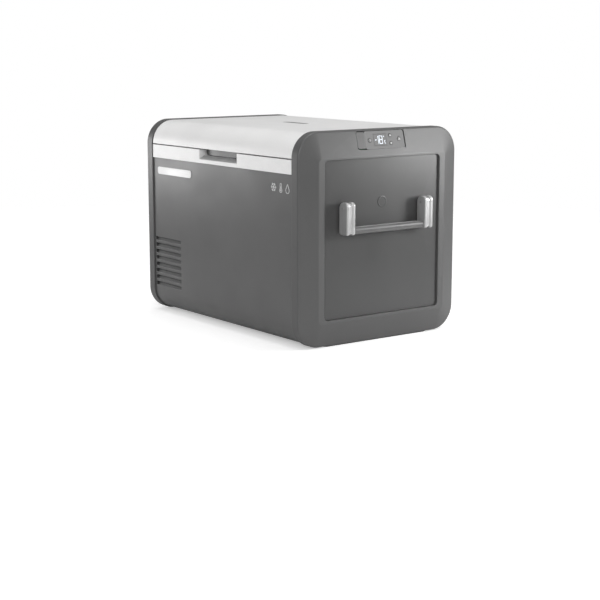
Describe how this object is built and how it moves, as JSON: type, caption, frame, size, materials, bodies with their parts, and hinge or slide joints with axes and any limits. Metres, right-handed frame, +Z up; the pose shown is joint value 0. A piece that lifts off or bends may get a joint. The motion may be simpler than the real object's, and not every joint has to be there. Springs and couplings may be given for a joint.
{
  "type": "compressor cooler fridge",
  "caption": "Chest-type portable compressor fridge with a hinged lid, push latch, rounded end frames, fold-down bail handles, a display panel and a deep insulated tub.",
  "frame": {"origin": "on the floor, under the middle of the bounding box", "axes": "+X along the cabinet to the display end, +Y to the lid hinge, -Y to the latch, +Z up"},
  "size_m": [0.72, 0.455, 0.48],
  "materials": {
    "slate_paint": "satin powder coat",
    "frame_plastic": "fine grained",
    "panel_plastic": "satin",
    "light_plastic": "satin",
    "liner_plastic": "smooth food-grade",
    "foam": "rigid foam",
    "handle_alloy": "brushed",
    "badge_alloy": "satin",
    "grip_plastic": "soft touch",
    "rubber": "matte",
    "display_gloss": "gloss",
    "display_glass": "gloss",
    "button_plastic": "satin",
    "circuit_board": "solder mask",
    "steel": "zinc plated",
    "black_plastic": "moulded",
    "compressor_paint": "gloss black",
    "fin_alloy": "mill finish",
    "copper": "drawn copper tube",
    "wire_steel": "coated wire",
    "lamp_diffuser": "diffuser"
  },
  "bodies": {
    "cabinet": {"cabinet_shell": "slate_paint", "top_collar": "light_plastic", "latch_receiver": "light_plastic", "front_badge": "badge_alloy", "inner_liner": "liner_plastic", "cabinet_foam": "foam", "end_frame_right": "frame_plastic", "end_panel_right": "panel_plastic", "handle_bracket_right": "black_plastic", "handle_pin_right_front": "steel", "handle_pin_right_rear": "steel", "foot_strip_right": "rubber", "handle_spring_right": "steel", "end_frame_left": "frame_plastic", "end_panel_left": "panel_plastic", "handle_bracket_left": "black_plastic", "handle_pin_left_rear": "steel", "handle_pin_left_front": "steel", "foot_strip_left": "rubber", "handle_spring_left": "steel", "display_panel": "display_gloss", "display_screen": "display_glass", "display_board": "circuit_board", "hinge_base_left": "black_plastic", "hinge_pin_left": "steel", "hinge_base_right": "black_plastic", "hinge_pin_right": "steel", "latch_strike": "steel", "wire_basket": "wire_steel", "interior_light": "lamp_diffuser", "compressor": "compressor_paint", "power_inlet": "black_plastic", "compressor_tray": "steel", "condenser": "fin_alloy", "fan_shroud": "black_plastic", "power_module": "fin_alloy", "evaporator_coil": "copper", "discharge_pipe": "copper", "filter_drier": "copper"},
    "lid": {"lid_shell": "light_plastic", "lid_liner": "liner_plastic", "lid_foam": "foam", "lid_gasket": "rubber", "hinge_leaf_left": "black_plastic", "hinge_leaf_right": "black_plastic", "latch_pin": "steel", "latch_spring": "steel"},
    "latch": {"latch_paddle": "panel_plastic", "latch_claw": "steel"},
    "right_handle": {"handle_bail_right": "handle_alloy", "handle_grip_right": "grip_plastic"},
    "left_handle": {"handle_bail_left": "handle_alloy", "handle_grip_left": "grip_plastic"},
    "power_key": {"power_button": "button_plastic"},
    "up_key": {"up_button": "button_plastic"},
    "down_key": {"down_button": "button_plastic"},
    "set_key": {"set_button": "button_plastic"},
    "fan": {"fan_rotor": "black_plastic"},
    "usb_flap": {"usb_cover": "frame_plastic"},
    "drain": {"drain_plug": "black_plastic"}
  },
  "joints": [
    {"name": "lid_hinge", "type": "hinge", "parent": "cabinet", "child": "lid", "pos_m": [0, 0.2235, 0.421], "axis": [-1, 0, 0], "range_deg": [0, 95]},
    {"name": "latch_pivot", "type": "hinge", "parent": "lid", "child": "latch", "pos_m": [0, -0.206, 0.43], "axis": [1, 0, 0], "range_deg": [0, 15], "stiffness_Nm_per_rad": 0.3, "springref_deg": -11.46},
    {"name": "right_handle_pivot", "type": "hinge", "parent": "cabinet", "child": "right_handle", "pos_m": [0.3445, 0, 0.311], "axis": [0, -1, 0], "range_deg": [0, 80], "stiffness_Nm_per_rad": 0.15, "springref_deg": -17.19},
    {"name": "left_handle_pivot", "type": "hinge", "parent": "cabinet", "child": "left_handle", "pos_m": [-0.3445, 0, 0.311], "axis": [0, 1, 0], "range_deg": [0, 80], "stiffness_Nm_per_rad": 0.15, "springref_deg": -17.19},
    {"name": "power_press", "type": "slide", "parent": "cabinet", "child": "power_key", "axis": [-0.964, 0, -0.2659], "range_m": [0, 0.001], "stiffness_N_per_m": 300, "springref_m": -0.001},
    {"name": "up_press", "type": "slide", "parent": "cabinet", "child": "up_key", "axis": [-0.964, 0, -0.2659], "range_m": [0, 0.001], "stiffness_N_per_m": 300, "springref_m": -0.001},
    {"name": "down_press", "type": "slide", "parent": "cabinet", "child": "down_key", "axis": [-0.964, 0, -0.2659], "range_m": [0, 0.001], "stiffness_N_per_m": 300, "springref_m": -0.001},
    {"name": "set_press", "type": "slide", "parent": "cabinet", "child": "set_key", "axis": [-0.964, 0, -0.2659], "range_m": [0, 0.001], "stiffness_N_per_m": 300, "springref_m": -0.001},
    {"name": "fan_spin", "type": "hinge", "parent": "cabinet", "child": "fan", "pos_m": [-0.222, -0.171, 0.1], "axis": [0, 1, 0], "continuous": true},
    {"name": "usb_flap_hinge", "type": "hinge", "parent": "cabinet", "child": "usb_flap", "pos_m": [0.32331, -0.0698, 0.45645], "axis": [0.2659, 0, -0.964], "range_deg": [0, 100]},
    {"name": "drain_turn", "type": "hinge", "parent": "cabinet", "child": "drain", "pos_m": [0.205, 0, 0.05], "axis": [0, 0, 1], "range_deg": [0, 90]}
  ]
}
